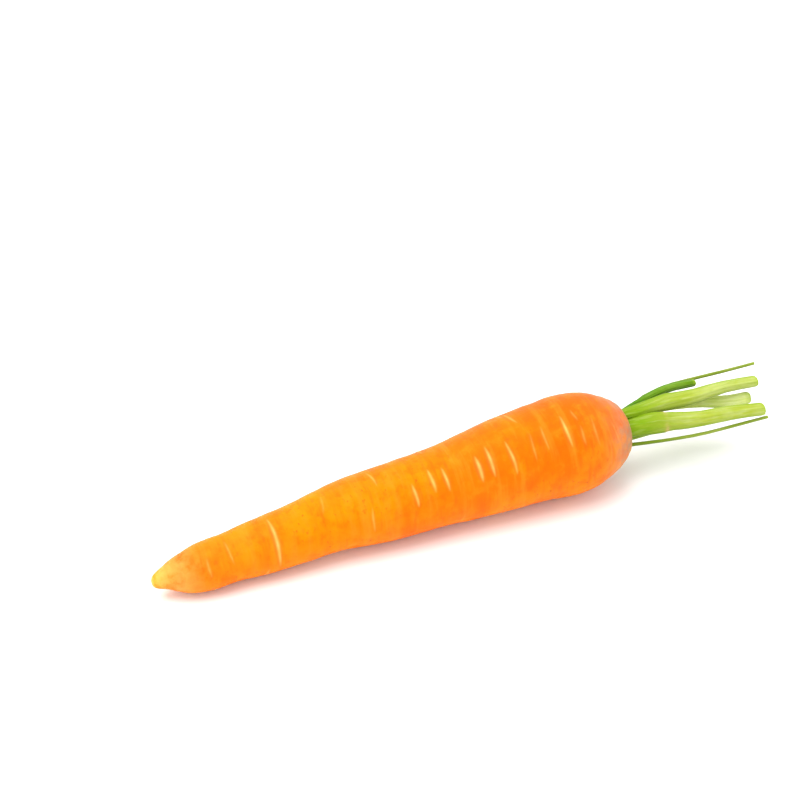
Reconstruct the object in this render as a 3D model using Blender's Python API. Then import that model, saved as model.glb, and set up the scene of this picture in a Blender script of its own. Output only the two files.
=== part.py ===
"""A carrot lying on its side: one taproot and the cut stubs of its leaf stalks.

X runs along the root from the tip to the crown, and Z is up. The belly rests on Z = 0, and the
whole object is centred over the origin. Lengths are in metres.
"""

import math

import bmesh
import bpy
from mathutils import Vector

MM = 0.001

# Driving dimensions of the root
ROOT_LENGTH = 180 * MM
SHOULDER_RADIUS = 18.4 * MM
CONTACT_DEPTH = 0.4 * MM  # how far the belly is pressed flat where it rests
BELLY_ARCH = 0.7 * MM  # the middle of the root is arched up by this much
SIDE_BOW = 0.6 * MM  # the root bends sideways by this much
CROWN_DISH = 0.8 * MM  # the crown is sunk by this much inside its rim
GAP = 0.3 * MM  # clearance between the crown and each stalk

# The root's outline: (part of the length from the tip, part of the shoulder radius)
OUTLINE = [
    (0.0, 0.0),
    (0.003, 0.10),
    (0.010, 0.150),
    (0.020, 0.193),
    (0.032, 0.240),
    (0.045, 0.312),
    (0.060, 0.372),
    (0.080, 0.430),
    (0.100, 0.466),
    (0.125, 0.482),
    (0.155, 0.486),
    (0.180, 0.503),
    (0.220, 0.543),
    (0.260, 0.560),
    (0.310, 0.592),
    (0.360, 0.625),
    (0.400, 0.668),
    (0.434, 0.706),
    (0.500, 0.736),
    (0.570, 0.757),
    (0.640, 0.815),
    (0.710, 0.890),
    (0.780, 0.932),
    (0.835, 0.978),
    (0.870, 1.0),
    (0.900, 0.98),
    (0.925, 0.92),
    (0.950, 0.825),
    (0.970, 0.715),
    (0.985, 0.60),
    (0.995, 0.495),
    (1.0, 0.41),
]
TIP_REST = 0.10  # the belly touches down here, near the tip,
SHOULDER_REST = 0.87  # and here, at the widest part of the shoulder

# Bends of the root's axis: (part of the length, shift in mm up and away from the near side)
BENDS = [
    (0.0, 0.70),
    (0.010, 0.70),
    (0.032, 0.95),
    (0.051, 0.39),
    (0.079, 0.0),
    (0.250, 0.0),
    (0.316, 0.28),
    (0.375, 0.95),
    (0.434, 0.60),
    (0.494, 0.05),
    (0.612, -0.35),
    (0.731, 0.0),
    (0.790, 0.12),
    (0.835, 0.0),
    (0.869, -0.15),
    (0.900, -0.40),
    (0.938, -0.55),
    (0.965, -0.85),
    (1.0, -0.90),
]
BEND_SIDE = 0.66  # how much of each shift is sideways,
BEND_RISE = 0.75  # and how much is upwards

# Mesh density
ROOT_RINGS = 52
ROOT_SIDES = 40
STALK_RINGS = 10
STALK_SIDES = 10

# Leaf stalks. A path's points are (along, side, height) in mm from the middle of the crown, and
# "sizes" are (part of the path, width around the crown in mm, thickness in mm).
STALKS = {
    "stalk_upper": {
        "path": [
            (0, 2.2, 4.4),
            (13.7, 1.4, 5.4),
            (27.4, 0.3, 5.3),
            (41.1, 0.25, 5.9),
            (54.8, -0.75, 5.35),
        ],
        "sizes": [(0, 4.4, 3.8), (0.2, 5.8, 5.2), (0.34, 5.8, 6.9), (0.6, 5.4, 5.5), (1, 4.6, 4.4)],
        "colour": (0.36, 0.50, 0.06),
    },
    "stalk_lower": {
        "path": [
            (0, -3.5, 1.3),
            (13, -4.8, 1.95),
            (26, -7.4, 1.2),
            (39, -8.85, 1.1),
            (52.5, -10.7, 0.25),
        ],
        "sizes": [(0, 8.0, 3.8), (0.2, 8.0, 4.4), (0.3, 7.0, 4.6), (0.42, 6.3, 5.0), (1, 4.8, 4.6)],
        "colour": (0.33, 0.50, 0.05),
    },
    "stalk_middle": {
        "path": [
            (0, 3.1, -1.7),
            (10.5, 5.2, 0.2),
            (21, 4.7, 0.6),
            (31.5, 2.9, 0),
            (41.5, 0, -0.8),
            (52, -1.7, -0.65),
        ],
        "sizes": [(0, 3.4, 3.0), (0.5, 4.2, 4.0), (1, 4.6, 4.4)],
        "colour": (0.48, 0.58, 0.16),
    },
    "stalk_short": {
        "path": [
            (0, 5.5, 1.9),
            (11, 6.8, 4.2),
            (22, 7.9, 5.7),
            (33.2, 7.1, 5.55),
        ],
        "sizes": [(0, 2.4, 1.8), (0.6, 3.5, 3.5), (1, 2.9, 2.8)],
        "colour": (0.13, 0.32, 0.07),
    },
    "stalk_thin_top": {
        "path": [
            (0, 6.3, -0.9),
            (12, 9.2, 3.4),
            (24, 10.8, 4.5),
            (36, 10.7, 4.5),
            (48, 10.2, 4.55),
            (60.4, 9.75, 4.8),
        ],
        "sizes": [(0, 2.0, 1.4), (0.3, 1.5, 1.3), (1, 1.2, 1.2)],
        "colour": (0.22, 0.38, 0.03),
    },
    "stalk_thin_bottom": {
        "path": [
            (0, -5.2, -4.2),
            (13.5, -8.7, -3.6),
            (27, -10.6, -3.6),
            (40.5, -11.4, -3.3),
            (54, -12, -3.05),
        ],
        "sizes": [(0, 2.0, 1.5), (0.25, 1.5, 1.3), (1, 1.3, 1.3)],
        "colour": (0.28, 0.42, 0.10),
    },
    "stalk_back": {
        "path": [
            (0, -0.8, -4.3),
            (14, -0.8, -4.1),
            (28, -2.2, -4.6),
            (42, -3.9, -5),
        ],
        "sizes": [(0, 4.4, 3.0), (0.3, 3.8, 3.4), (1, 3.4, 3.2)],
        "colour": (0.36, 0.50, 0.08),
    },
    "stalk_heart": {
        "path": [
            (0, 0.7, -0.2),
            (8, 1.6, 0.7),
            (16, 2, 0.9),
        ],
        "sizes": [(0, 2.2, 1.8), (1, 1.9, 1.8)],
        "colour": (0.50, 0.62, 0.14),
    },
}
STALK_ROUNDING = 0.8  # the last ring at a cut end is this much smaller
ROOT_COLOUR = (0.95, 0.27, 0.01)


def clear_scene():
    for obj in list(bpy.data.objects):
        bpy.data.objects.remove(obj, do_unlink=True)


def make_material(name, colour, roughness):
    material = bpy.data.materials.new(name)
    material.use_nodes = True
    shader = material.node_tree.nodes["Principled BSDF"]
    shader.inputs["Base Color"].default_value = (*colour, 1.0)
    shader.inputs["Roughness"].default_value = roughness
    shader.inputs["Metallic"].default_value = 0.0
    return material


def smooth_through(points, place):
    """The height at place of a curve through (x, y) points that never overshoots them."""
    last = len(points) - 1
    slopes = []
    for i, (x, y) in enumerate(points):
        before = points[max(i - 1, 0)]
        after = points[min(i + 1, last)]
        rise_in = (y - before[1]) / (x - before[0]) if i > 0 else None
        rise_out = (after[1] - y) / (after[0] - x) if i < last else None
        if rise_in is None or rise_out is None:
            slopes.append(rise_in if rise_out is None else rise_out)
        elif rise_in * rise_out <= 0:
            slopes.append(0.0)
        else:
            slopes.append(2 * rise_in * rise_out / (rise_in + rise_out))
    for i in range(last):
        x0, y0 = points[i]
        x1, y1 = points[i + 1]
        if place <= x1:
            break
    width = x1 - x0
    t = min(max((place - x0) / width, 0.0), 1.0)
    start = (2 * t**3 - 3 * t**2 + 1) * y0 + (t**3 - 2 * t**2 + t) * width * slopes[i]
    finish = (3 * t**2 - 2 * t**3) * y1 + (t**3 - t**2) * width * slopes[i + 1]
    return start + finish


def outline_radius(part):
    return SHOULDER_RADIUS * smooth_through(OUTLINE, part)


def centre_height(part):
    """Height of the root's axis: the two resting places sink CONTACT_DEPTH into the ground."""
    tip_height = outline_radius(TIP_REST) - CONTACT_DEPTH
    shoulder_height = outline_radius(SHOULDER_REST) - CONTACT_DEPTH
    rise = (shoulder_height - tip_height) / (SHOULDER_REST - TIP_REST)
    arch = BELLY_ARCH * math.sin(math.pi * part)
    return tip_height + rise * (part - TIP_REST) + arch


def root_axis(part):
    bend = smooth_through(BENDS, part) * MM
    side = SIDE_BOW * math.sin(math.pi * part) + BEND_SIDE * bend
    return Vector((ROOT_LENGTH * part, side, centre_height(part) + BEND_RISE * bend))


def lobes(part, angle):
    """How far a real root is from round: a few slow swellings around and along it."""
    oval = 0.012 * math.sin(2 * angle + 1.1 + 3.0 * part)
    three = 0.008 * math.sin(3 * angle + 0.4 - 5.0 * part)
    ripple = 0.006 * math.sin(angle + 17.0 * part)
    return 1.0 + oval + three + ripple


def root_ring(mesh, part, radius, along=0.0):
    """One ring of the root's skin, pressed flat where it would go below the ground."""
    centre = root_axis(part) + Vector((along, 0, 0))
    ring = []
    for i in range(ROOT_SIDES):
        angle = math.tau * (i + 0.5) / ROOT_SIDES
        reach = radius * lobes(part, angle)
        point = centre + Vector((0, reach * math.sin(angle), -reach * math.cos(angle)))
        point.z = max(point.z, 0.0)
        ring.append(mesh.verts.new(point))
    return ring


def skin(mesh, rings, start, finish):
    """Close a stack of rings into one body, with a fan of triangles at both ends."""
    for lower, upper in zip(rings, rings[1:]):
        count = len(lower)
        for i in range(count):
            j = (i + 1) % count
            mesh.faces.new((lower[i], lower[j], upper[j], upper[i]))
    for ring, centre in ((rings[0], start), (rings[-1], finish)):
        pole = mesh.verts.new(centre)
        for i in range(len(ring)):
            mesh.faces.new((ring[i], ring[(i + 1) % len(ring)], pole))
    bmesh.ops.recalc_face_normals(mesh, faces=mesh.faces)


def finish_object(name, mesh, material):
    data = bpy.data.meshes.new(name)
    mesh.to_mesh(data)
    mesh.free()
    data.materials.append(material)
    data.shade_smooth()
    data.set_sharp_from_angle(angle=math.radians(40))
    obj = bpy.data.objects.new(name, data)
    bpy.context.scene.collection.objects.link(obj)
    return obj


def ring_places():
    """Ring positions along the root, crowded towards the tip and the shoulder."""
    places = []
    for i in range(1, ROOT_RINGS + 1):
        even = i / ROOT_RINGS
        places.append(0.5 - 0.5 * math.cos(math.pi * even) if i < ROOT_RINGS else 1.0)
    return [0.6 * place + 0.4 * (i + 1) / ROOT_RINGS for i, place in enumerate(places)]


def make_taproot():
    mesh = bmesh.new()
    rings = [root_ring(mesh, 0.003, outline_radius(0.003))]
    rings += [root_ring(mesh, part, outline_radius(part)) for part in ring_places()]
    rim = outline_radius(1.0)
    rings.append(root_ring(mesh, 1.0, 0.8 * rim, -0.6 * CROWN_DISH))
    rings.append(root_ring(mesh, 1.0, 0.45 * rim, -CROWN_DISH))
    crown = root_axis(1.0) - Vector((CROWN_DISH, 0, 0))
    skin(mesh, rings, root_axis(0.0), crown)
    return finish_object("taproot", mesh, make_material("carrot_skin", ROOT_COLOUR, 0.35))


def along_path(points, t):
    """A point of the smooth curve through a list of points, for t from 0 to 1."""
    spans = len(points) - 1
    i = min(int(t * spans), spans - 1)
    u = t * spans - i
    ends = (points[max(i - 1, 0)], points[i], points[i + 1], points[min(i + 2, spans)])
    before, here, there, after = (Vector(point) for point in ends)
    curve = 2 * here + (there - before) * u
    curve += (2 * before - 5 * here + 4 * there - after) * u**2
    curve += (3 * here - before - 3 * there + after) * u**3
    return 0.5 * curve


def stalk_size(stalk, t):
    """The width and thickness of a stalk at t, in mm."""
    rounding = STALK_ROUNDING if t == 1.0 else 1.0
    width = smooth_through([(place, wide) for place, wide, _ in stalk["sizes"]], t)
    thickness = smooth_through([(place, thick) for place, _, thick in stalk["sizes"]], t)
    return width * rounding, thickness * rounding


def make_stalk(name, stalk):
    mesh = bmesh.new()
    crown = root_axis(1.0) + Vector((GAP, 0, 0))
    outward = Vector((0, stalk["path"][0][1], stalk["path"][0][2])).normalized()
    around = Vector((1, 0, 0)).cross(outward)
    rings = []
    for i in range(STALK_RINGS + 1):
        t = 1.0 if i == STALK_RINGS else 0.97 * i / (STALK_RINGS - 1)
        centre = crown + along_path(stalk["path"], t) * MM
        width, thickness = stalk_size(stalk, t)
        ring = []
        for j in range(STALK_SIDES):
            angle = math.tau * j / STALK_SIDES
            across = around * math.cos(angle) * width / 2
            deep = outward * math.sin(angle) * thickness / 2
            ring.append(mesh.verts.new(centre + (across + deep) * MM))
        rings.append(ring)
    start = crown + Vector(stalk["path"][0]) * MM
    finish = crown + Vector(stalk["path"][-1]) * MM
    skin(mesh, rings, start, finish)
    material = make_material(name + "_green", stalk["colour"], 0.4)
    return finish_object(name, mesh, material)


def centre_over_origin(objects):
    """Slide everything along the ground until the middle of its box is over the origin."""
    corners = [vertex.co for obj in objects for vertex in obj.data.vertices]
    middle_x = (min(c.x for c in corners) + max(c.x for c in corners)) / 2
    middle_y = (min(c.y for c in corners) + max(c.y for c in corners)) / 2
    for obj in objects:
        obj.location = (-middle_x, -middle_y, 0)


def build():
    clear_scene()
    objects = [make_taproot()]
    for name, stalk in STALKS.items():
        objects.append(make_stalk(name, stalk))
    centre_over_origin(objects)


build()
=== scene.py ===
"""The looks of a carrot lying on its side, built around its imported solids.

Lengths are in metres, in the row's own frame: X runs from the root's tip to its crown, Z is up.
The root's shape and each stalk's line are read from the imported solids, and the fine relief,
the finishes, the light and the camera are made here.
"""

import math

import bpy
import numpy as np
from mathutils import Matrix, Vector
from mathutils.bvhtree import BVHTree


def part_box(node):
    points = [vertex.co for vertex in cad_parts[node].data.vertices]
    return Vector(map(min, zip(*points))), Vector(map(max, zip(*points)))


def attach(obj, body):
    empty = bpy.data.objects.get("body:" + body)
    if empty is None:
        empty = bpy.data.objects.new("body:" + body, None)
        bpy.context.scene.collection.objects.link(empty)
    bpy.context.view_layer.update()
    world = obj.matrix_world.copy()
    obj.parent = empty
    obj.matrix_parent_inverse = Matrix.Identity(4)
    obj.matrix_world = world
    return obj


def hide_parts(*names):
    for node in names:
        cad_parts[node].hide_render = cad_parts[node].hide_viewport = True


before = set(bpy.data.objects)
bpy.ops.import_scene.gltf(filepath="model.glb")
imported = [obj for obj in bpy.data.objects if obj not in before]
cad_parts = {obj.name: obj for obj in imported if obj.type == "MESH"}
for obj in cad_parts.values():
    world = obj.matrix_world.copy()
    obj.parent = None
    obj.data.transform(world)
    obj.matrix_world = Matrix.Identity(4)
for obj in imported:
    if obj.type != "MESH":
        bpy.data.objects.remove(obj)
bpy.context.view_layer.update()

MM = 0.001
SEED = 7
X_AXIS, Y_AXIS, Z_AXIS = np.eye(3)

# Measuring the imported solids
STATIONS = 420  # places along the root where its section is measured
EVEN_SHARE = 0.3  # the rest of the stations' spacing crowds them towards the tip and the crown
FIRST_PART, LAST_PART = 0.0008, 0.9995  # the first and last station, as parts of the length
OUTSIDE = 0.1  # a distance well clear of the object, where the measuring rays start

# The fine skin of the root
ROWS = 640  # rings from the tip to the middle of the crown
SIDES = 156  # points round each ring
CROWN_STEPS = 40  # steps in from the crown's rim to its middle, before the rows are spread out
TIP_GAP = 0.12 * MM  # how far from the very tip the first ring is, along the skin
SKIN_INSET = 0.12 * MM  # the skin starts this far inside the solid, so that relief stays within it
CROWN_DISH = 0.8 * MM  # the crown is sunk by this much inside its rim

# Softening of the solid's flat facets, in rings or in points round a ring
ROW_BLUR = 3.2
TIP_BLUR = 1.2  # less near the tip, so that it stays as blunt as the solid's
TIP_ROWS = (10, 40)  # where the tip's softening gives way to the rest
SIDE_BLUR = 2.2
BLUR_PAD = 16

# Scars left by side roots, the ones on the side that shows:
# (part of the length, angle from the top towards the near side, span, strength, lean in mm)
NEAR_SCARS = [
    (0.106, 54, 52, 0.35, 0.0),
    (0.150, 35, 64, 0.35, 1.2),
    (0.240, 50, 118, 1.0, 1.0),
    (0.345, 12, 40, 0.25, -2.0),
    (0.431, 70, 44, 0.45, -0.6),
    (0.452, 0, 38, 0.45, 1.2),
    (0.521, 50, 38, 0.9, 0.3),
    (0.560, 36, 38, 0.9, 0.3),
    (0.587, 40, 38, 0.9, 0.5),
    (0.655, 42, 38, 1.0, 0.5),
    (0.680, 38, 44, 0.95, 0.6),
    (0.723, 42, 46, 0.85, 0.6),
    (0.757, -16, 34, 0.55, 1.6),
    (0.770, 38, 36, 0.35, -0.6),
    (0.797, 32, 32, 0.4, 0.0),
    (0.843, 32, 40, 1.0, 0.3),
    (0.870, 16, 16, 0.35, 0.0),
    (0.872, 42, 24, 0.35, 0.0),
    (0.900, 41, 38, 0.3, 0.0),
    (0.946, 50, 30, 0.25, 0.8),
]
NEAR_SCAR_ROW = 41  # the angle, in degrees, that the near row of scars keeps to
FAR_SCAR_ROWS = (132, 222, 310)  # the other three rows that side roots grow from
SCARS_PER_FAR_ROW = 11
SCAR_HEIGHT = 0.10 * MM
CREASES = 420
DEEPEST_CREASE = 0.075
PITS = 70
SWELL_HEIGHT = 0.09 * MM
SWELL_WAVES = 26

# Camera and light
LENS_MM = 85
SENSOR_MM = 36
CAMERA_AZIMUTH = -23.14
CAMERA_ELEVATION = 37.98
CAMERA_DISTANCE = 0.6374
AIM = Vector((0.0019, 0.0, 0.0583))  # from the middle of the root, on the ground
WORLD_STRENGTH = 1.15
LAMP_PLACE = (-0.40, 0.15, 1.45)
LAMP_SIZE = 1.5
LAMP_POWER = 22
FLOOR_HALF = 3.0
FLOOR_DROP = 0.05 * MM  # the floor lies this far under the root, so that the two never flicker


def smoothstep(low, high, value):
    """0 before low, 1 after high, and a smooth rise between them."""
    t = np.clip((value - low) / (high - low), 0.0, 1.0)
    return t * t * (3 - 2 * t)


def wrap_angle(angle):
    """The same angle, between minus and plus half a turn."""
    return (angle + math.pi) % math.tau - math.pi


def blur(values, sigma, axis):
    """Gaussian blur along one axis of an array that has already been padded."""
    reach = int(math.ceil(3 * sigma))
    offsets = np.arange(-reach, reach + 1)
    weights = np.exp(-0.5 * (offsets / sigma) ** 2)
    weights /= weights.sum()
    return np.apply_along_axis(lambda line: np.convolve(line, weights, "same"), axis, values)


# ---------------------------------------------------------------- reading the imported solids


def solid_tree(node):
    """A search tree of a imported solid's faces, for rays to hit."""
    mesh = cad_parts[node].data
    corners = [vertex.co.copy() for vertex in mesh.vertices]
    faces = [tuple(face.vertices) for face in mesh.polygons]
    return BVHTree.FromPolygons(corners, faces)


def hit(tree, start, direction):
    """Where a ray meets the solid, or its own start if it misses."""
    place = tree.ray_cast(Vector(start), Vector(direction))[0]
    return place if place is not None else Vector(start)


def measure_root(angles):
    """Where the root's axis runs and how far its skin is from it: x, centre y and z, reach."""
    low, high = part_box("taproot")
    tree = solid_tree("taproot")
    length = high.x - low.x
    even = np.linspace(0.0, 1.0, STATIONS)
    crowded = 0.5 - 0.5 * np.cos(math.pi * even)
    parts = (1 - EVEN_SHARE) * crowded + EVEN_SHARE * even
    rows = []
    for x in low.x + length * np.clip(parts, FIRST_PART, LAST_PART):
        top = hit(tree, (x, 0, OUTSIDE), (0, 0, -1)).z
        bottom = hit(tree, (x, 0, -OUTSIDE), (0, 0, 1)).z
        z = (top + bottom) / 2
        near = hit(tree, (x, -OUTSIDE, z), (0, 1, 0)).y
        far = hit(tree, (x, OUTSIDE, z), (0, -1, 0)).y
        y = (near + far) / 2
        reach = []
        for angle in angles:
            direction = (0, -math.sin(angle), math.cos(angle))
            place = hit(tree, (x, y, z), direction)
            reach.append(math.hypot(place.y - y, place.z - z))
        rows.append((x, y, z, reach))
    xs, ys, zs, reaches = zip(*rows)
    return np.array(xs), np.array(ys), np.array(zs), np.array(reaches)


def stalk_spine(node, outward, around, count):
    """Cross-sections of a stalk's solid, evenly spaced in X: centre, half width, half thickness."""
    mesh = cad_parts[node].data
    points = np.array([vertex.co[:] for vertex in mesh.vertices])
    edges = np.array([edge.vertices[:] for edge in mesh.edges])
    low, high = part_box(node)
    margin = 0.02 * MM
    sections = []
    for x in np.linspace(low.x + margin, high.x - margin, count):
        a, b = points[edges[:, 0]], points[edges[:, 1]]
        crossing = (a[:, 0] - x) * (b[:, 0] - x) < 0
        a, b = a[crossing], b[crossing]
        share = ((x - a[:, 0]) / (b[:, 0] - a[:, 0]))[:, None]
        cut = a + share * (b - a)
        wide, deep = cut @ around, cut @ outward
        middle = x * X_AXIS
        middle = middle + around * (wide.max() + wide.min()) / 2
        middle = middle + outward * (deep.max() + deep.min()) / 2
        sections.append((middle, np.ptp(wide) / 2, np.ptp(deep) / 2))
    centres, widths, depths = zip(*sections)
    return np.array(centres), np.array(widths), np.array(depths)


# ---------------------------------------------------------------- meshes from grids


def grid_object(name, grid, start, finish):
    """A closed body from rings of points, with a fan of triangles to a pole at both ends."""
    rows, sides, _ = grid.shape
    points = np.vstack([grid.reshape(-1, 3), start, finish])
    row = np.arange(rows - 1)[:, None] * sides
    here = np.arange(sides)[None, :]
    there = (here + 1) % sides
    quads = np.stack([row + here, row + there, row + sides + there, row + sides + here], -1)
    first, last = rows * sides, rows * sides + 1
    faces = [tuple(quad) for quad in quads.reshape(-1, 4).tolist()]
    end = (rows - 1) * sides
    for i in range(sides):
        j = (i + 1) % sides
        faces.append((j, i, first))
        faces.append((end + i, end + j, last))
    mesh = bpy.data.meshes.new(name)
    mesh.from_pydata(points.tolist(), [], faces)
    mesh.update()
    mesh.shade_smooth()
    obj = bpy.data.objects.new(name, mesh)
    bpy.context.scene.collection.objects.link(obj)
    return obj


def paint(obj, name, values, at_start=None, at_finish=None):
    """Stores one number or vector for each point of a grid object, for its shader to read."""
    flat = values.reshape(len(obj.data.vertices) - 2, -1)
    start = flat[0] if at_start is None else np.atleast_1d(at_start)
    finish = flat[-1] if at_finish is None else np.atleast_1d(at_finish)
    flat = np.vstack([flat, start, finish]).astype(np.float32)
    single = flat.shape[1] == 1
    layer = obj.data.attributes.new(name, "FLOAT" if single else "FLOAT_VECTOR", "POINT")
    layer.data.foreach_set("value" if single else "vector", flat.ravel())


def grid_normals(grid):
    """The outward direction at each point of a grid of rings."""
    along = np.gradient(grid, axis=0)
    round_it = np.roll(grid, -1, axis=1) - np.roll(grid, 1, axis=1)
    normals = np.cross(round_it, along)
    return normals / np.maximum(np.linalg.norm(normals, axis=2, keepdims=True), 1e-12)


# ---------------------------------------------------------------- the root


def root_rows(angles):
    """The smooth skin: x, centre y, centre z and reach of each of its rows, tip to crown."""
    xs, ys, zs, reach = measure_root(angles)
    mean = reach.mean(axis=1)
    low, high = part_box("taproot")
    rim = mean[-1]
    shrink = np.linspace(1.0, 0.01, CROWN_STEPS)[1:]
    dish = high.x - CROWN_DISH * smoothstep(1.0, 0.45, shrink)
    path_x = np.concatenate([[low.x], xs, dish])
    path_r = np.concatenate([[0.0], mean, rim * shrink])
    steps = np.hypot(np.diff(path_x), np.diff(path_r))
    length = np.concatenate([[0.0], np.cumsum(steps)])
    even = np.linspace(length[0] + TIP_GAP, length[-1], ROWS)
    row_x = np.interp(even, length, path_x)
    full = np.vstack([0 * reach[:1], reach, reach[-1:] * shrink[:, None]])
    row_reach = np.stack([np.interp(even, length, full[:, k]) for k in range(len(angles))], 1)
    row_y = np.interp(row_x, xs, ys)
    row_z = np.interp(row_x, xs, zs)
    return soften_rows(row_x, row_y, row_z, row_reach)


def soften_rows(row_x, row_y, row_z, reach):
    """Blurs away the solid's flat facets, carrying the rows smoothly across the tip."""
    pad = BLUR_PAD
    across = -np.roll(reach[1 : pad + 1][::-1], SIDES // 2, axis=1)
    tail = np.repeat(reach[-1:], pad, axis=0)
    padded = np.vstack([across, reach, tail])
    sharp = blur(padded, TIP_BLUR, 0)
    padded = blur(padded, ROW_BLUR, 0)
    near_tip = 1 - smoothstep(*TIP_ROWS, np.arange(len(padded)) - pad)[:, None]
    padded += near_tip * (sharp - padded)
    sideways = np.concatenate([padded[:, -pad:], padded, padded[:, :pad]], axis=1)
    sideways = blur(sideways, SIDE_BLUR, 1)[:, pad:-pad]
    reach = np.maximum(sideways[pad:-pad], 0.02 * MM)
    lines = []
    for line in (row_x, row_y, row_z):
        before = line[1 : pad + 1][::-1]
        after = np.repeat(line[-1:], pad)
        lines.append(blur(np.concatenate([before, line, after]), ROW_BLUR, 0)[pad:-pad])
    return (*lines, reach)


def stamp(part_mm, angles, place_mm, angle, span, width, lean, wobble, phase):
    """A line across the skin: how many widths off it each point is, and its fade to both ends."""
    off = wrap_angle(angles - angle) / (span / 2)
    inside = np.clip(1 - off**2, 0, 1)
    centre = place_mm + lean * off / 2 + wobble * np.sin(2.3 * off + phase)
    taper = width * (0.45 + 0.55 * inside)
    across = (part_mm - centre[None, :]) / taper[None, :]
    return across, inside[None, :] ** 0.7


def add_scars(relief, scar, shade, part_mm, angles, length_mm, rng):
    """Pale raised scars of side roots, each with a groove on both sides, and painted shade in the
    grooves.
    """
    rows = [(f, math.radians(a), math.radians(s), k, m) for f, a, s, k, m in NEAR_SCARS]
    for row_angle in FAR_SCAR_ROWS:
        for i in range(SCARS_PER_FAR_ROW):
            part = 0.09 + 0.86 * (i + rng.uniform(0.1, 0.9)) / SCARS_PER_FAR_ROW
            angle = math.radians(row_angle + rng.uniform(-13, 13))
            span = math.radians(rng.uniform(18, 48))
            rows.append((part, angle, span, rng.uniform(0.25, 1.0), rng.uniform(-1.0, 1.2)))
    for part, angle, span, strength, lean in rows:
        width = rng.uniform(0.40, 0.54) * (0.7 + 0.4 * strength)
        wobble, phase = rng.uniform(0.05, 0.30), rng.uniform(0, math.tau)
        place = part * length_mm
        across, fade = stamp(part_mm, angles, place, angle, span, width, lean, wobble, phase)
        ridge = np.exp(-(across**2))
        groove = np.exp(-((across + 1.9) ** 2)) + 0.5 * np.exp(-((across - 1.9) ** 2))
        broken = 0.88 + 0.12 * np.sin(angles * rng.uniform(9, 22) + phase)[None, :]
        relief += strength * fade * (ridge - groove) * SCAR_HEIGHT
        scar += strength * fade * ridge * broken
        # Painted shade in the grooves
        shade += strength * fade * groove


def add_creases(relief, crease, part_mm, angles, length_mm, rng):
    """Fine creases across the skin, closer together towards the shoulder, with painted shade along
    them.
    """
    for _ in range(CREASES):
        part = rng.uniform(0.02, 0.97) if rng.random() < 0.7 else rng.uniform(0.80, 0.985)
        angle, span = rng.uniform(0, math.tau), math.radians(rng.uniform(8, 34))
        width, depth = rng.uniform(0.32, 0.70), rng.uniform(0.02, DEEPEST_CREASE)
        lean, wobble = rng.uniform(-0.8, 0.8), rng.uniform(0, 0.3)
        phase = rng.uniform(0, math.tau)
        place = part * length_mm
        across, fade = stamp(part_mm, angles, place, angle, span, width, lean, wobble, phase)
        line = fade * np.exp(-(across**2))
        relief -= depth * line * MM
        # Painted shade along the crease, darker for the deeper ones
        crease += line * depth / DEEPEST_CREASE


def add_pits(relief, pit, part_mm, angles, length_mm, reach_mm, rng):
    """Small round pits, mostly along the rows of scars, with painted shade in them."""
    rows = np.radians([NEAR_SCAR_ROW, *FAR_SCAR_ROWS])
    for _ in range(PITS):
        part = rng.uniform(0.05, 0.96)
        angle = rng.choice(rows) + rng.normal(0, 0.30)
        size = rng.uniform(0.45, 0.85)
        round_it = wrap_angle(angles - angle)[None, :] * reach_mm
        away = ((part_mm - part * length_mm) / size) ** 2 + (round_it / (1.3 * size)) ** 2
        dot = np.exp(-away)
        relief -= rng.uniform(0.03, 0.09) * dot * MM
        # Painted shade in the pit
        pit += dot * rng.uniform(0.2, 0.8)


def slow_swell(part_mm, angles, rng):
    """Slow unevenness of the skin, made of long waves that close up round the root."""
    swell = np.zeros((len(part_mm), len(angles)))
    for _ in range(SWELL_WAVES):
        turns = rng.integers(0, 6)
        pitch = rng.uniform(7, 40)
        phase = rng.uniform(0, math.tau)
        swell += np.cos(part_mm * math.tau / pitch + turns * angles[None, :] + phase)
    return swell / SWELL_WAVES**0.5


def add_crown_relief(relief, crown, reach_mm, part, angles, rng):
    """Concentric wrinkles on the shoulder and a ragged corky collar round the stalks."""
    ragged = np.zeros(len(angles))
    for turns in (3, 5, 8, 13, 21):
        ragged += np.sin(turns * angles + rng.uniform(0, math.tau)) / turns**0.35
    ragged = ragged[None, :] / 2.2
    top = smoothstep(0.90, 0.965, part)
    ring = np.sin((reach_mm + 0.35 * ragged) * math.tau / 1.9)
    relief += top * smoothstep(6.0, 9.0, reach_mm) * 0.045 * ring * MM
    collar = np.exp(-(((reach_mm - 7.4) / 0.7) ** 2)) * top
    relief += collar * (0.25 + 0.22 * ragged) * MM
    crown += top * smoothstep(11.5, 7.6, reach_mm + 0.8 * ragged)


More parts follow.
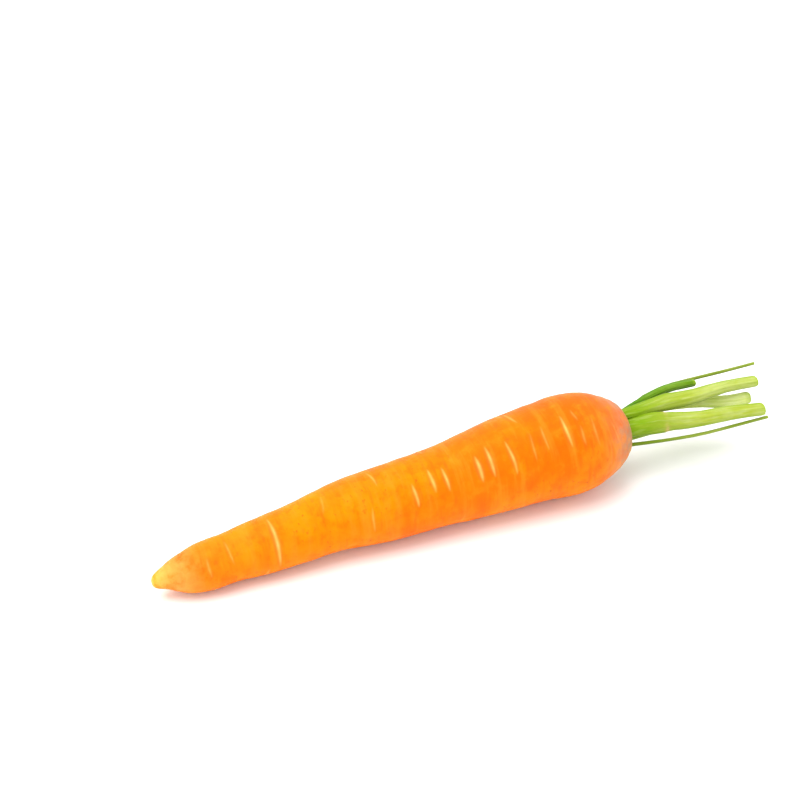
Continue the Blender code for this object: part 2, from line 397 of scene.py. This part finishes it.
def make_root():
    """The root's skin with its relief, and the layers that its finish reads."""
    rng = np.random.default_rng(SEED)
    angles = np.arange(SIDES) * math.tau / SIDES
    row_x, row_y, row_z, reach = root_rows(angles)
    low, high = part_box("taproot")
    length_mm = (high.x - low.x) / MM
    part_mm = (row_x[:, None] - low.x) / MM
    reach_mm = reach / MM
    part = part_mm / length_mm
    across = np.stack([0 * angles, -np.sin(angles), np.cos(angles)], -1)
    centre = np.stack([row_x, row_y, row_z], -1)
    grid = centre[:, None, :] + across[None] * reach[..., None]
    relief = np.full(reach.shape, -SKIN_INSET)
    scar, shade, crease, pit, crown = (np.zeros(reach.shape) for _ in range(5))
    body = 1 - smoothstep(0.985, 1.0, part) * smoothstep(7.5, 5.5, reach_mm)
    relief += SWELL_HEIGHT * slow_swell(part_mm, angles, rng) * smoothstep(0.0, 0.05, part)
    add_scars(relief, scar, shade, part_mm, angles, length_mm, rng)
    add_creases(relief, crease, part_mm, angles, length_mm, rng)
    add_pits(relief, pit, part_mm, angles, length_mm, reach_mm, rng)
    relief *= body
    scar, shade, crease, pit = (layer * body for layer in (scar, shade, crease, pit))
    add_crown_relief(relief, crown, reach_mm, part, angles, rng)
    grid += grid_normals(grid) * relief[..., None]
    grid[..., 2] = np.maximum(grid[..., 2], 0.0)
    start = grid[0].mean(axis=0) - np.array([0.04 * MM, 0, 0])
    root = grid_object("carrot_root", grid, start, grid[-1].mean(axis=0))
    for name, layer in (("scar", scar), ("shade", shade), ("crease", crease), ("pit", pit)):
        paint(root, name, np.clip(layer, 0, 1))
    paint(root, "crown", np.clip(crown, 0, 1), at_finish=1.0)
    paint(root, "part", np.broadcast_to(part, reach.shape))
    root.data.materials.append(root_finish())
    return finish_piece(root, "taproot")


# ---------------------------------------------------------------- the stalks

STALK_ROWS = 150
STALK_SIDES = 48
STALK_SECTIONS = 90  # places along a stalk where its solid is measured
SQUARE_SECTIONS = 3  # sections at the far end that are left out, where the cut narrows them
STALK_ROOTED = 1.6 * MM  # how far a stalk runs on into the crown
WRAPPED_RADIUS = 3.0 * MM  # the tightest that a clasping base bends round the crown

# flare: how much wider the clasping base is; sheath: how far up it reaches, as a part of the
# length; ribs round the stalk and their height; hollow: depth of the channel on the inner side;
# step: how much thicker the sheath is than the stalk that comes out of it; hue: one of HUES
PLAIN = {"flare": 0.0, "sheath": 0.22, "ribs": 9, "rib": 0.05, "hollow": 0.18, "step": 0.0}
STALK_STYLES = {
    "stalk_upper": {"flare": 0.10, "sheath": 0.45, "ribs": 9, "hue": "green"},
    "stalk_lower": {"flare": 0.06, "sheath": 0.31, "ribs": 10, "step": 0.06, "hue": "green"},
    "stalk_middle": {"ribs": 8, "hue": "pale"},
    "stalk_short": {"ribs": 7, "hue": "deep"},
    "stalk_thin_top": {"ribs": 5, "hollow": 0.05, "hue": "olive"},
    "stalk_thin_bottom": {"flare": 0.20, "ribs": 5, "hollow": 0.05, "hue": "olive"},
    "stalk_back": {"ribs": 8, "hue": "green"},
    "stalk_heart": {"ribs": 6, "hue": "pale"},
}
# Linear colours of a stalk: where it leaves the crown, along most of it, and its pale strands
HUES = {
    "green": ((0.17, 0.30, 0.004), (0.35, 0.42, 0.045), (0.47, 0.53, 0.17)),
    # The pale hue is partly the paler colour of the inner stalks and partly painted light: it is
    # made brighter to offset the shade that the stalks above cast on them
    "pale": ((0.38, 0.50, 0.06), (0.64, 0.72, 0.21), (0.76, 0.81, 0.40)),
    "deep": ((0.05, 0.17, 0.004), (0.11, 0.24, 0.006), (0.20, 0.33, 0.04)),
    "olive": ((0.12, 0.19, 0.010), (0.19, 0.26, 0.025), (0.30, 0.36, 0.07)),
}
# Painted shade: a stalk's colour is darkened on the two sides that face along this direction, up
# and back and down and to the front, which are the top and bottom edges of each stalk
SHADED_SIDES_DIRECTION = np.array([0.0, 0.66, 0.75])  # the two sides where a stalk's skin is darker

# The rounded end of a stalk, from its side to the middle of its cut face: share of the radius,
# height as a part of the radius, and how much of the cut's colour shows
CUT_PROFILE = [
    (0.99, -0.55, 0.35),
    (0.965, -0.34, 0.6),
    (0.92, -0.17, 0.8),
    (0.85, -0.06, 1.0),
    (0.76, 0.0, 1.0),
    (0.64, -0.03, 1.0),
    (0.50, -0.06, 1.0),
    (0.32, -0.04, 1.0),
    (0.15, -0.06, 1.0),
]
ROWS_CUT_AWAY = 6  # rings that the rounded end takes the place of
CUT_SLOPE = 0.12  # how far from square a cut can be
CUT_FRINGE = 0.15  # how much of the cut's colour shows on the last ring before it


def crown_middle():
    """The middle of the crown, where the root's axis comes out."""
    _, ys, zs, _ = measure_root(np.array([0.0]))
    return np.array([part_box("taproot")[1].x, ys[-1], zs[-1]])


def stalk_directions(node, crown):
    """Out from the crown's middle through a stalk's base, round the crown there, and how far."""
    base = stalk_spine(node, Z_AXIS, Y_AXIS, 3)[0][0]
    _, y, z = base - crown
    distance = math.hypot(y, z)
    outward = np.array([0, y, z]) / distance
    return outward, np.cross(X_AXIS, outward), distance


def torn_edge(style, t, angles):
    """The ragged edge where a sheath ends and the stalk comes out of it."""
    torn = 0.87 * style["sheath"] + 0.008 * np.sin(3 * angles + 1) + 0.006 * np.sin(7 * angles)
    edge = np.exp(-(((t[:, None] - torn[None, :]) / 0.016) ** 2)) * (style["step"] > 0)
    return edge * (0.55 + 0.45 * np.sin(2 * angles + 0.6))[None, :]


def stalk_reach(style, t, angles, rng):
    """The ribs, the sheath's step and a slight waver, as a factor on a stalk's radius."""
    step = 1 - smoothstep(0.84 * style["sheath"], 0.90 * style["sheath"], t)
    swell = 1 + style["step"] * step
    ribs = style["rib"] * np.cos(style["ribs"] * angles + rng.uniform(0, math.tau))
    ribs = ribs * (0.35 + 0.65 * smoothstep(-0.5, 0.3, np.sin(angles)))
    waver = 1 + 0.02 * np.sin(t * rng.uniform(14, 22) + rng.uniform(0, math.tau))
    return (1 + ribs)[None, :] * (swell * waver)[:, None]


def wrap_base(side, rise, bend):
    """Bends a stalk's flat base round the crown: bend is one over the radius, along the stalk."""
    safe = np.maximum(bend, 1)
    curved = np.where(bend > 1, np.sin(side * bend) / safe, side)
    drop = np.where(bend > 1, (1 - np.cos(side * bend)) / safe, 0)
    return curved, rise - drop


def make_stalk(node, style, index, crown):
    """A ribbed stalk with its clasping base and cut end, and the layers that its finish reads."""
    rng = np.random.default_rng(SEED + 100 + index)
    style = {**PLAIN, **style}
    outward, around, distance = stalk_directions(node, crown)
    centres, widths, depths = stalk_spine(node, outward, around, STALK_SECTIONS)
    low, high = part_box(node)
    length = high.x - low.x
    angles = np.arange(STALK_SIDES) * math.tau / STALK_SIDES
    wide, deep = np.cos(angles), np.sin(angles)

    t = np.concatenate([[-STALK_ROOTED / length], np.linspace(0, 1, STALK_ROWS)])
    solid_t = np.linspace(0, 1, STALK_SECTIONS)
    centre = np.stack([np.interp(t, solid_t, centres[:, k]) for k in range(3)], -1)
    centre[0] -= STALK_ROOTED * X_AXIS
    kept = slice(None, -SQUARE_SECTIONS)
    half_width = np.interp(t, solid_t[kept], widths[kept])
    half_depth = np.interp(t, solid_t[kept], depths[kept])
    sheath = 1 - smoothstep(0.0, style["sheath"], t)
    half_width = half_width * (1 + style["flare"] * sheath)

    reach = stalk_reach(style, t, angles, rng)
    channel = 1 - style["hollow"] * np.exp(-((wide / 0.45) ** 2)) * (deep < 0)
    side = half_width[:, None] * wide[None, :] * reach
    rise = half_depth[:, None] * (deep * channel)[None, :] * reach
    side, rise = wrap_base(side, rise, sheath[:, None] / max(distance, WRAPPED_RADIUS))
    grid = centre[:, None, :] + around * side[..., None] + outward * rise[..., None]
    grid, cut = close_cut(grid, rng)
    stalk = grid_object("carrot_" + node, grid, grid[0].mean(axis=0), grid[-1].mean(axis=0))

    rows = len(grid)
    added = rows - len(t)
    edge = np.concatenate([torn_edge(style, t, angles), np.zeros((added, STALK_SIDES))])
    t = np.concatenate([t, np.ones(added)])
    fibre = np.empty((rows, STALK_SIDES, 3))
    fibre[..., 0] = t[:, None] * length / MM * 0.03
    fibre[..., 1] = wide[None, :] + 3.7 * index
    fibre[..., 2] = deep[None, :]
    # Painted shade on the stalk's top and bottom sides
    turned = wide * (around @ SHADED_SIDES_DIRECTION) + deep * (outward @ SHADED_SIDES_DIRECTION)
    margin = smoothstep(0.72, 1.0, np.abs(turned))
    paint(stalk, "fibre", fibre)
    paint(stalk, "up_stalk", np.repeat(t[:, None], STALK_SIDES, 1))
    paint(stalk, "cut", np.repeat(cut[:, None], STALK_SIDES, 1), at_finish=1.0)
    paint(stalk, "edge", edge)
    # The margin layer is painted shade along the top and bottom sides
    paint(stalk, "margin", np.repeat(margin[None, :], rows, 0))
    stalk.data.materials.append(stalk_finish(node, HUES[style["hue"]]))
    return finish_piece(stalk, node)


def close_cut(grid, rng):
    """Rounds the end of a stalk over and sinks its cut face a little: the rings, the cut layer."""
    last = grid[-1]
    middle = last.mean(axis=0)
    radius = np.linalg.norm(last - middle, axis=1).mean()
    tangent = middle - grid[-8].mean(axis=0)
    tangent /= np.linalg.norm(tangent)
    slope = rng.uniform(-CUT_SLOPE, CUT_SLOPE, 2)
    body = grid[:-ROWS_CUT_AWAY]
    rings = []
    for share, height, _ in CUT_PROFILE:
        ring = middle + (last - middle) * share + tangent * height * radius
        tilt = (last - middle) @ np.array([0, *slope]) * share
        rings.append(ring + tangent[None, :] * tilt[:, None] * 0.6)
    colour = [shown for _, _, shown in CUT_PROFILE]
    cut = np.concatenate([np.zeros(len(body) - 1), [CUT_FRINGE], colour])
    return np.concatenate([body, np.array(rings)]), cut


# ---------------------------------------------------------------- finishes


def new_material(name):
    """A material with its node tree and its main shader."""
    material = bpy.data.materials.new(name)
    material.use_nodes = True
    tree = material.node_tree
    return material, tree, tree.nodes["Principled BSDF"]


def attribute(tree, name):
    node = tree.nodes.new("ShaderNodeAttribute")
    node.attribute_name = name
    return node


def noise(tree, vector, scale, detail, roughness):
    node = tree.nodes.new("ShaderNodeTexNoise")
    node.inputs["Scale"].default_value = scale
    node.inputs["Detail"].default_value = detail
    node.inputs["Roughness"].default_value = roughness
    tree.links.new(vector, node.inputs["Vector"])
    return node.outputs["Fac"]


def stretched(tree, scale):
    """Object coordinates stretched by a factor along each axis."""
    coordinates = tree.nodes.new("ShaderNodeTexCoord")
    mapping = tree.nodes.new("ShaderNodeMapping")
    mapping.inputs["Scale"].default_value = scale
    tree.links.new(coordinates.outputs["Object"], mapping.inputs["Vector"])
    return mapping.outputs["Vector"]


def ramp(tree, value, stops):
    """stops: (position, linear colour)."""
    node = tree.nodes.new("ShaderNodeValToRGB")
    node.color_ramp.interpolation = "LINEAR"
    elements = node.color_ramp.elements
    for position, _ in stops[2:]:
        elements.new(position)
    for element, (position, colour) in zip(elements, stops):
        element.position = position
        element.color = (*colour, 1.0)
    tree.links.new(value, node.inputs["Fac"])
    return node.outputs["Color"]


def remap(tree, value, low, high, to_low=0.0, to_high=1.0):
    """Stretches low to high, either way round, over to_low to to_high, and clamps the rest."""
    node = tree.nodes.new("ShaderNodeMapRange")
    node.inputs["From Min"].default_value = low
    node.inputs["From Max"].default_value = high
    node.inputs["To Min"].default_value = to_low
    node.inputs["To Max"].default_value = to_high
    tree.links.new(value, node.inputs["Value"])
    return node.outputs["Result"]


def maths(tree, operation, first, second):
    node = tree.nodes.new("ShaderNodeMath")
    node.operation = operation
    for socket, value in zip(node.inputs, (first, second)):
        if isinstance(value, (int, float)):
            socket.default_value = value
        else:
            tree.links.new(value, socket)
    return node.outputs["Value"]


def mix(tree, factor, first, second):
    """Goes from the first colour to the second with the factor."""
    node = tree.nodes.new("ShaderNodeMix")
    node.data_type = "RGBA"
    node.clamp_factor = True
    for name, value in (("Factor_Float", factor), ("A_Color", first), ("B_Color", second)):
        socket = next(s for s in node.inputs if s.identifier == name)
        if isinstance(value, (int, float)):
            socket.default_value = value
        elif isinstance(value, tuple):
            socket.default_value = (*value, 1.0)
        else:
            tree.links.new(value, socket)
    return next(s for s in node.outputs if s.identifier == "Result_Color")


def bump(tree, shader, heights):
    """heights: (socket, strength, distance) layers, laid over one another."""
    below = None
    for height, strength, distance in heights:
        node = tree.nodes.new("ShaderNodeBump")
        node.inputs["Strength"].default_value = strength
        node.inputs["Distance"].default_value = distance
        tree.links.new(height, node.inputs["Height"])
        if below is not None:
            tree.links.new(below, node.inputs["Normal"])
        below = node.outputs["Normal"]
    tree.links.new(below, shader.inputs["Normal"])


def patched(tree, colour, patches):
    """Lays patches over a colour: (field, where they start, where they are full, most, colour)."""
    for field, start, full, most, patch in patches:
        colour = mix(tree, remap(tree, field, start, full, 0, most), colour, patch)
    return colour


def marked(tree, colour, marks):
    """Lays marks over a colour: (where they are, how strongly they show, colour)."""
    for place, strength, mark in marks:
        colour = mix(tree, maths(tree, "MULTIPLY", place, strength), colour, mark)
    return colour


def skin_light(shader, specular, tint, subsurface, radius, scale):
    """How a skin shines, and how far light goes under it."""
    shader.inputs["Specular IOR Level"].default_value = specular
    shader.inputs["Specular Tint"].default_value = (*tint, 1.0)
    shader.inputs["Subsurface Weight"].default_value = subsurface
    shader.inputs["Subsurface Radius"].default_value = radius
    shader.inputs["Subsurface Scale"].default_value = scale


# Linear colours of the skin from the tip to the crown
ROOT_STOPS = [
    (0.0, (0.76, 0.48, 0.05)),
    (0.018, (0.82, 0.38, 0.055)),
    (0.045, (0.83, 0.26, 0.035)),
    (0.09, (0.84, 0.215, 0.006)),
    (0.30, (0.84, 0.205, 0.001)),
    (0.60, (0.83, 0.175, 0.001)),
    (0.86, (0.80, 0.136, 0.001)),
    (0.915, (0.75, 0.140, 0.009)),
    (0.940, (0.66, 0.180, 0.045)),
    (0.958, (0.52, 0.225, 0.105)),
    (0.978, (0.42, 0.218, 0.118)),
    (1.0, (0.36, 0.205, 0.110)),
]


def root_colour(tree, grain, mottle, bands, streaks):
    """Orange skin, patchy and banded, with pale scars and a corky crown, and painted shade along
    the creases, in the grooves beside the scars and in the pits.
    """
    names = ("part", "scar", "shade", "crease", "pit", "crown")
    part, scar, shade, crease, pit, crown = (attribute(tree, name).outputs["Fac"] for name in names)
    blotch = noise(tree, stretched(tree, (1, 1, 1)), 42, 4, 0.55)
    fleck = noise(tree, stretched(tree, (1.5, 1, 1)), 520, 2, 0.5)

    shift = maths(tree, "MULTIPLY", maths(tree, "SUBTRACT", blotch, 0.5), 0.10)
    colour = ramp(tree, maths(tree, "ADD", part, shift), ROOT_STOPS)
    patches = [
        (blotch, 0.50, 0.66, 0.55, (0.90, 0.275, 0.001)),
        (blotch, 0.50, 0.34, 0.45, (0.78, 0.110, 0.003)),
        (mottle, 0.52, 0.68, 0.45, (0.87, 0.240, 0.008)),
        (mottle, 0.48, 0.32, 0.50, (0.74, 0.110, 0.002)),
        (bands, 0.52, 0.70, 0.48, (0.90, 0.262, 0.018)),
        (bands, 0.47, 0.32, 0.40, (0.74, 0.115, 0.002)),
    ]
    colour = patched(tree, colour, patches)
    in_patches = remap(tree, blotch, 0.42, 0.60)
    flecks = maths(tree, "MULTIPLY", remap(tree, fleck, 0.63, 0.72), in_patches)
    colour = marked(tree, colour, [(flecks, 0.5, (0.40, 0.060, 0.006))])
    colour = patched(tree, colour, [(streaks, 0.54, 0.80, 0.20, (0.74, 0.120, 0.003))])
    tip = remap(tree, part, 0.10, 0.0)
    ripe = maths(tree, "MULTIPLY", tip, remap(tree, mottle, 0.40, 0.60))
    marks = [
        # Painted shade along the creases
        (crease, 0.42, (0.66, 0.105, 0.006)),
        (ripe, 0.55, (0.86, 0.52, 0.14)),
        # Painted shade in the grooves beside the scars
        (shade, 0.45, (0.80, 0.130, 0.02)),
        (scar, 0.85, (0.96, 0.50, 0.13)),
        # Painted shade in the pits
        (pit, 0.45, (0.42, 0.075, 0.01)),
    ]
    colour = marked(tree, colour, marks)
    cork = mix(tree, grain, (0.26, 0.17, 0.06), (0.50, 0.33, 0.15))
    return mix(tree, crown, colour, cork)


def root_finish():
    """Satin orange skin, rougher on the scars and the crown."""
    material, tree, shader = new_material("carrot_skin")
    scar = attribute(tree, "scar").outputs["Fac"]
    crown = attribute(tree, "crown").outputs["Fac"]
    plain = stretched(tree, (1, 1, 1))
    grain = noise(tree, plain, 1100, 4, 0.65)
    mottle = noise(tree, plain, 190, 4, 0.6)
    bands = noise(tree, stretched(tree, (260, 30, 30)), 1.0, 4, 0.6)
    streaks = noise(tree, stretched(tree, (20, 300, 300)), 1.0, 3, 0.6)
    colour = root_colour(tree, grain, mottle, bands, streaks)
    tree.links.new(colour, shader.inputs["Base Color"])

    rough = remap(tree, grain, 0.3, 0.7, 0.42, 0.56)
    rough = maths(tree, "ADD", rough, maths(tree, "MULTIPLY", crown, 0.30))
    rough = maths(tree, "ADD", rough, maths(tree, "MULTIPLY", scar, 0.08))
    tree.links.new(rough, shader.inputs["Roughness"])
    skin_light(shader, 0.10, (1.0, 0.62, 0.20), 0.10, (1.0, 0.35, 0.08), 1.5 * MM)
    heights = [
        (grain, 0.25, 0.06 * MM),
        (mottle, 0.45, 0.30 * MM),
        (bands, 0.50, 0.25 * MM),
        (streaks, 0.20, 0.10 * MM),
    ]
    bump(tree, shader, heights)
    return material


def stalk_colour(tree, hues, strands, fine, grain):
    """Green skin with pale strands, darker near the crown, with paler patches that are a painted
    highlight and painted shade along its top and bottom sides.
    """
    names = ("up_stalk", "cut", "edge", "margin")
    up_stalk, cut, edge, margin = (attribute(tree, name).outputs["Fac"] for name in names)
    patches = noise(tree, stretched(tree, (1, 1, 1)), 120, 3, 0.5)

    dark, mid, pale = hues
    early = tuple(0.45 * low + 0.55 * high for low, high in zip(dark, mid))
    stops = [(0.0, dark), (0.10, dark), (0.26, early), (0.48, mid), (1.0, mid)]
    colour = ramp(tree, up_stalk, stops)
    # Painted highlight: paler patches part way up the stalk
    paler = remap(tree, patches, 0.4, 0.62)
    paler = maths(tree, "MULTIPLY", remap(tree, up_stalk, 0.25, 0.65), paler)
    colour = marked(tree, colour, [(paler, 0.6, pale)])
    light = remap(tree, strands, 0.50, 0.68, 0, 0.65)
    light = maths(tree, "MULTIPLY", light, remap(tree, up_stalk, 0.0, 0.4, 0.35, 1.0))
    colour = mix(tree, light, colour, pale)
    dim = [(strands, 0.48, 0.30, 0.60, early), (fine, 0.48, 0.28, 0.30, dark)]
    colour = patched(tree, colour, dim)
    # Painted shade along the top and bottom sides, then the brownish torn edge of the sheath
    colour = marked(tree, colour, [(margin, 0.60, dark), (edge, 0.7, (0.55, 0.38, 0.14))])
    pith = mix(tree, grain, (0.24, 0.36, 0.008), (0.40, 0.52, 0.05))
    return mix(tree, cut, colour, pith)


def stalk_finish(node, hues):
    """Satin green skin, rougher on the cut end."""
    material, tree, shader = new_material(node + "_green")
    fibre = attribute(tree, "fibre").outputs["Vector"]
    cut = attribute(tree, "cut").outputs["Fac"]
    strands = noise(tree, fibre, 3.4, 4, 0.55)
    fine = noise(tree, fibre, 12.0, 3, 0.6)
    grain = noise(tree, stretched(tree, (1, 1, 1)), 1400, 3, 0.6)
    tree.links.new(stalk_colour(tree, hues, strands, fine, grain), shader.inputs["Base Color"])

    rough = remap(tree, fine, 0.3, 0.7, 0.38, 0.52)
    rough = maths(tree, "ADD", rough, maths(tree, "MULTIPLY", cut, 0.15))
    tree.links.new(rough, shader.inputs["Roughness"])
    skin_light(shader, 0.14, (0.9, 1.0, 0.40), 0.12, (0.6, 1.0, 0.15), 0.8 * MM)
    heights = [(strands, 0.55, 0.14 * MM), (fine, 0.35, 0.06 * MM), (grain, 0.12, 0.03 * MM)]
    bump(tree, shader, heights)
    return material


# ---------------------------------------------------------------- the scene


def finish_piece(obj, node):
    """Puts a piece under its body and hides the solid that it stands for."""
    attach(obj, "root")
    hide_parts(node)
    return obj


def make_floor():
    """A pale floor that takes the object's soft shadow."""
    mesh = bpy.data.meshes.new("floor")
    half = FLOOR_HALF
    corners = [(-half, -half, 0), (half, -half, 0), (half, half, 0), (-half, half, 0)]
    mesh.from_pydata(corners, [], [(0, 1, 2, 3)])
    floor = bpy.data.objects.new("floor", mesh)
    floor.location.z = -FLOOR_DROP
    bpy.context.scene.collection.objects.link(floor)
    material, _, shader = new_material("pale_floor")
    shader.inputs["Base Color"].default_value = (0.92, 0.92, 0.92, 1)
    shader.inputs["Roughness"].default_value = 0.9
    shader.inputs["Specular IOR Level"].default_value = 0.1
    mesh.materials.append(material)


def make_light():
    """White light from all round, and one broad lamp overhead."""
    world = bpy.data.worlds.new("studio")
    world.use_nodes = True
    background = world.node_tree.nodes["Background"]
    background.inputs["Color"].default_value = (1.0, 1.0, 1.0, 1)
    background.inputs["Strength"].default_value = WORLD_STRENGTH
    bpy.context.scene.world = world
    data = bpy.data.lights.new("overhead", "AREA")
    data.shape = "DISK"
    data.size = LAMP_SIZE
    data.energy = LAMP_POWER
    light = bpy.data.objects.new("overhead", data)
    light.location = LAMP_PLACE
    light.rotation_euler = (-Vector(LAMP_PLACE)).to_track_quat("-Z", "Y").to_euler()
    bpy.context.scene.collection.objects.link(light)


def make_camera():
    """The camera, placed by its direction and distance from a point near the root."""
    data = bpy.data.cameras.new("camera")
    data.lens = LENS_MM
    data.sensor_width = SENSOR_MM
    data.clip_start = 0.01
    camera = bpy.data.objects.new("camera", data)
    low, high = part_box("taproot")
    aim = AIM + Vector(((low.x + high.x) / 2, (low.y + high.y) / 2, 0))
    azimuth = math.radians(CAMERA_AZIMUTH)
    elevation = math.radians(CAMERA_ELEVATION)
    back = Vector((math.sin(azimuth), -math.cos(azimuth), 0)) * math.cos(elevation)
    back.z = math.sin(elevation)
    camera.location = aim + back * CAMERA_DISTANCE
    camera.rotation_euler = (-back).to_track_quat("-Z", "Y").to_euler()
    bpy.context.scene.collection.objects.link(camera)
    bpy.context.scene.camera = camera


bpy.context.scene.view_settings.view_transform = "Standard"
make_root()
crown_centre = crown_middle()
for number, (stalk_node, stalk_style) in enumerate(STALK_STYLES.items()):
    make_stalk(stalk_node, stalk_style, number, crown_centre)
make_floor()
make_light()
make_camera()
